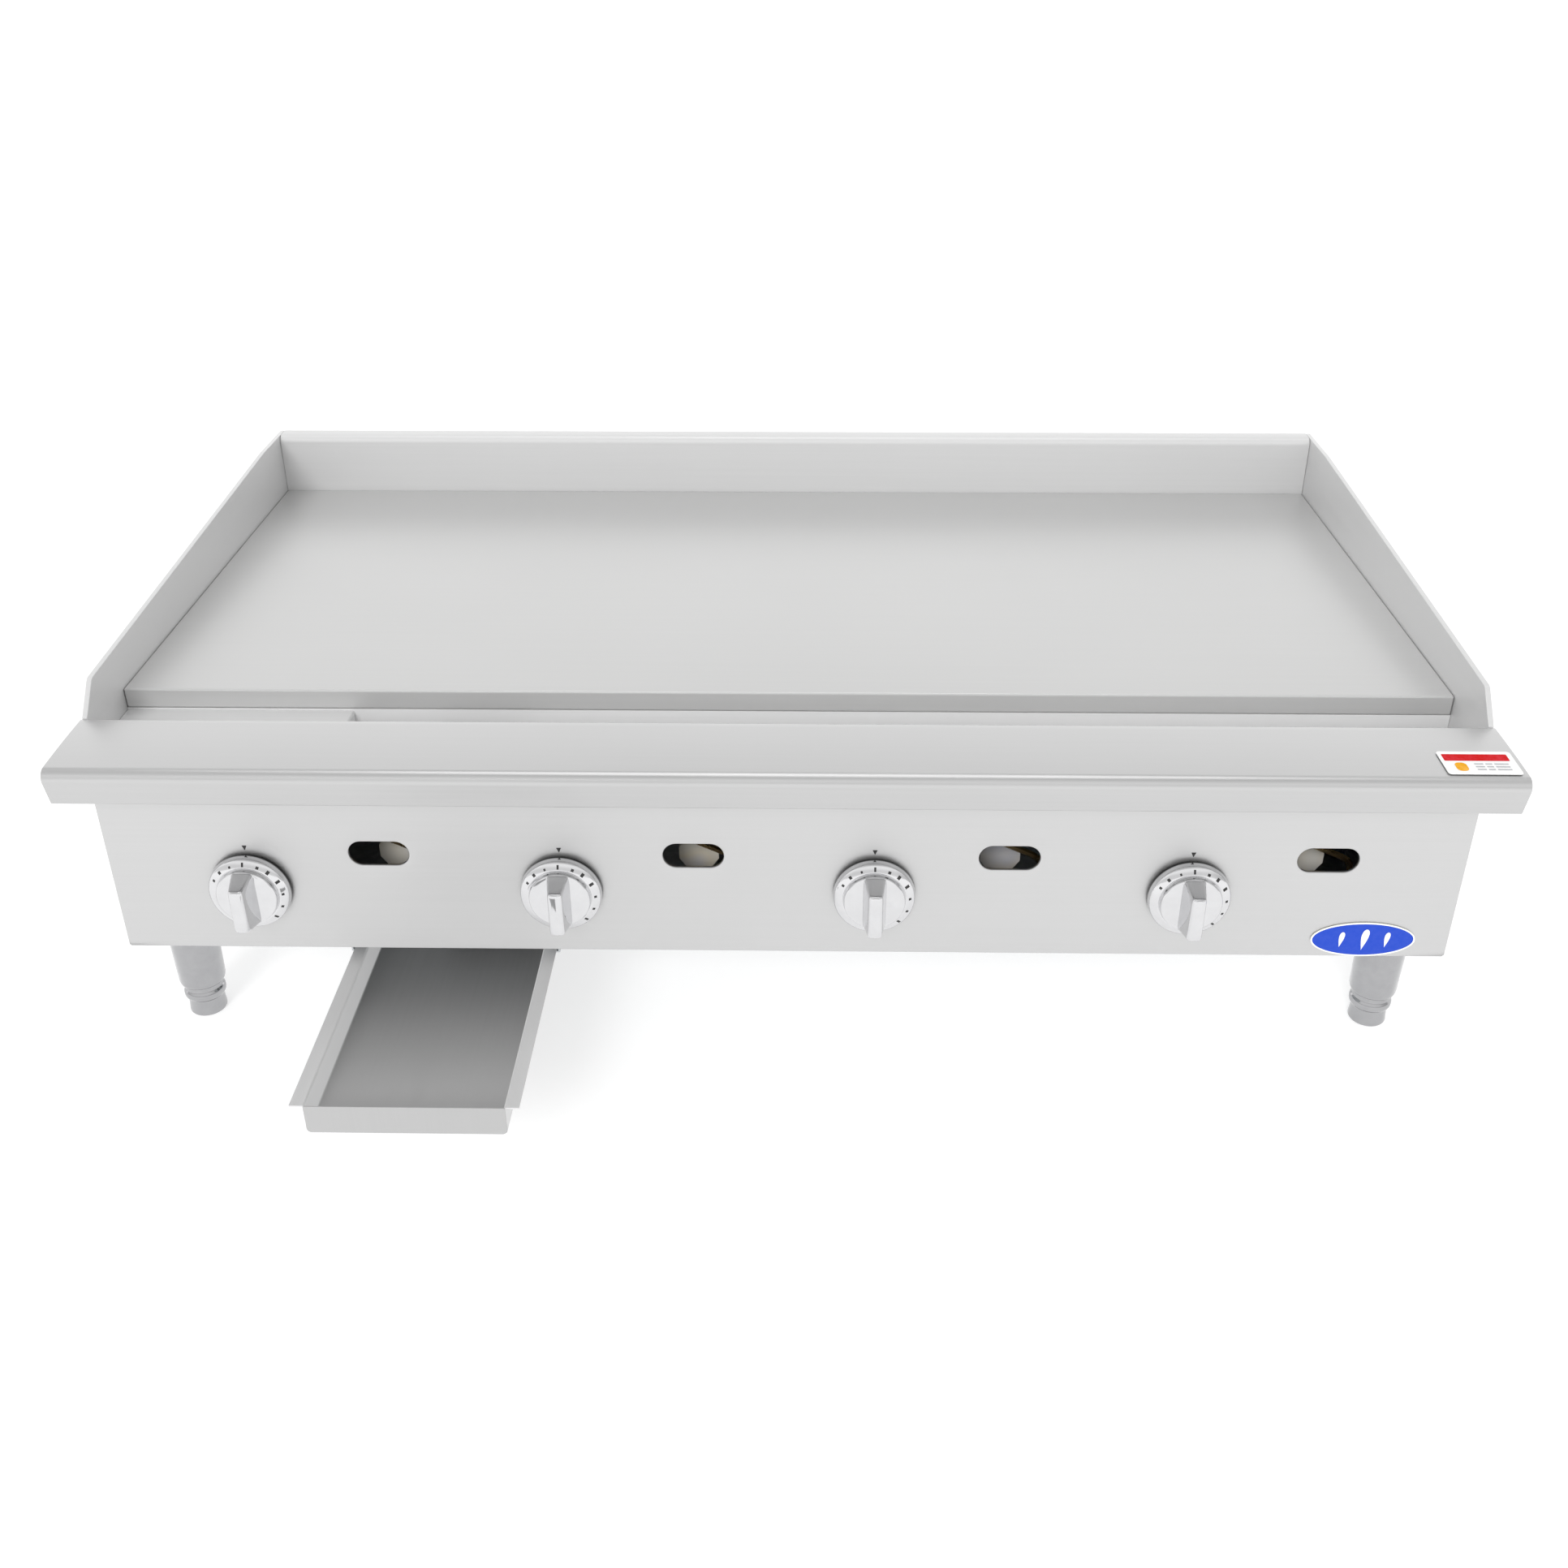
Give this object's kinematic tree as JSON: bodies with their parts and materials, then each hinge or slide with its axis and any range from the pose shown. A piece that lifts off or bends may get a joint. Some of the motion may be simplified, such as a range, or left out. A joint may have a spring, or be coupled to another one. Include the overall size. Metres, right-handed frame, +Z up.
{
  "type": "flat top griddle",
  "caption": "Countertop gas griddle: a thick flat steel plate with splash guards, grease gutter, front rail, control knobs, burners and a sliding grease drawer.",
  "frame": {"origin": "centre of the footprint, pulled-out drawer and gas inlet included, on the surface that the feet stand on", "axes": "+X to the right seen from the front, along the width; +Y to the back; +Z up"},
  "size_m": [1.219, 0.911, 0.386],
  "materials": {
    "stainless": "fine brushed stainless steel, soft sheen",
    "ground_plate": "ground and polished thick steel plate, fine lengthwise grain",
    "galvanised": "dull galvanised steel",
    "aluminised": "dull aluminised steel tube, heat tinted",
    "chrome": "bright chrome plate",
    "brass": "turned brass, slightly dulled",
    "badge_enamel": "blue enamel with a cream rim",
    "label_film": "white printed film"
  },
  "bodies": {
    "cabinet": {"griddle_plate": "ground_plate", "back_splash": "stainless", "left_side_splash": "stainless", "right_side_splash": "stainless", "grease_gutter": "stainless", "gutter_ledge": "stainless", "drain_chute": "stainless", "front_rail": "stainless", "control_panel": "stainless", "left_side_panel": "stainless", "right_side_panel": "stainless", "back_panel": "galvanised", "base_pan": "galvanised", "front_burner_support": "galvanised", "rear_burner_support": "galvanised", "gas_manifold": "galvanised", "gas_inlet": "galvanised", "left_drawer_guide": "galvanised", "right_drawer_guide": "galvanised", "badge": "badge_enamel", "rail_label": "label_film", "burner_1": "aluminised", "gas_valve_1": "brass", "pilot_1": "brass", "leg_1": "chrome", "burner_2": "aluminised", "gas_valve_2": "brass", "pilot_2": "brass", "leg_2": "chrome", "burner_3": "aluminised", "gas_valve_3": "brass", "pilot_3": "brass", "leg_3": "chrome", "burner_4": "aluminised", "gas_valve_4": "brass", "pilot_4": "brass", "leg_4": "chrome"},
    "knob_1": {"knob_1": "chrome", "valve_stem_1": "chrome"},
    "air_shutter_1": {"air_shutter_1": "galvanised"},
    "foot_1": {"foot_1": "chrome"},
    "knob_2": {"knob_2": "chrome", "valve_stem_2": "chrome"},
    "air_shutter_2": {"air_shutter_2": "galvanised"},
    "foot_2": {"foot_2": "chrome"},
    "knob_3": {"knob_3": "chrome", "valve_stem_3": "chrome"},
    "air_shutter_3": {"air_shutter_3": "galvanised"},
    "foot_3": {"foot_3": "chrome"},
    "knob_4": {"knob_4": "chrome", "valve_stem_4": "chrome"},
    "air_shutter_4": {"air_shutter_4": "galvanised"},
    "foot_4": {"foot_4": "chrome"},
    "drawer": {"grease_drawer": "stainless"}
  },
  "joints": [
    {"name": "knob_1_turn", "type": "hinge", "parent": "cabinet", "child": "knob_1", "pos_m": [-0.4675, -0.2545, 0.191], "axis": [0, -1, 0], "range_deg": [0, 180]},
    {"name": "knob_2_turn", "type": "hinge", "parent": "cabinet", "child": "knob_2", "pos_m": [-0.1935, -0.2545, 0.191], "axis": [0, -1, 0], "range_deg": [0, 180]},
    {"name": "knob_3_turn", "type": "hinge", "parent": "cabinet", "child": "knob_3", "pos_m": [0.0805, -0.2545, 0.191], "axis": [0, -1, 0], "range_deg": [0, 180]},
    {"name": "knob_4_turn", "type": "hinge", "parent": "cabinet", "child": "knob_4", "pos_m": [0.3545, -0.2545, 0.191], "axis": [0, -1, 0], "range_deg": [0, 180]},
    {"name": "drawer_slide", "type": "slide", "parent": "cabinet", "child": "drawer", "axis": [0, -1, 0], "range_m": [-0.2, 0.19]},
    {"name": "foot_1_adjust", "type": "slide", "parent": "cabinet", "child": "foot_1", "axis": [0, 0, -1], "range_m": [0, 0.025]},
    {"name": "foot_2_adjust", "type": "slide", "parent": "cabinet", "child": "foot_2", "axis": [0, 0, -1], "range_m": [0, 0.025]},
    {"name": "foot_3_adjust", "type": "slide", "parent": "cabinet", "child": "foot_3", "axis": [0, 0, -1], "range_m": [0, 0.025]},
    {"name": "foot_4_adjust", "type": "slide", "parent": "cabinet", "child": "foot_4", "axis": [0, 0, -1], "range_m": [0, 0.025]},
    {"name": "air_shutter_1_turn", "type": "hinge", "parent": "cabinet", "child": "air_shutter_1", "pos_m": [-0.4675, -0.1745, 0.191], "axis": [0, 1, 0], "range_deg": [-20, 20]},
    {"name": "air_shutter_2_turn", "type": "hinge", "parent": "cabinet", "child": "air_shutter_2", "pos_m": [-0.1935, -0.1745, 0.191], "axis": [0, 1, 0], "range_deg": [-20, 20]},
    {"name": "air_shutter_3_turn", "type": "hinge", "parent": "cabinet", "child": "air_shutter_3", "pos_m": [0.0805, -0.1745, 0.191], "axis": [0, 1, 0], "range_deg": [-20, 20]},
    {"name": "air_shutter_4_turn", "type": "hinge", "parent": "cabinet", "child": "air_shutter_4", "pos_m": [0.3545, -0.1745, 0.191], "axis": [0, 1, 0], "range_deg": [-20, 20]}
  ]
}
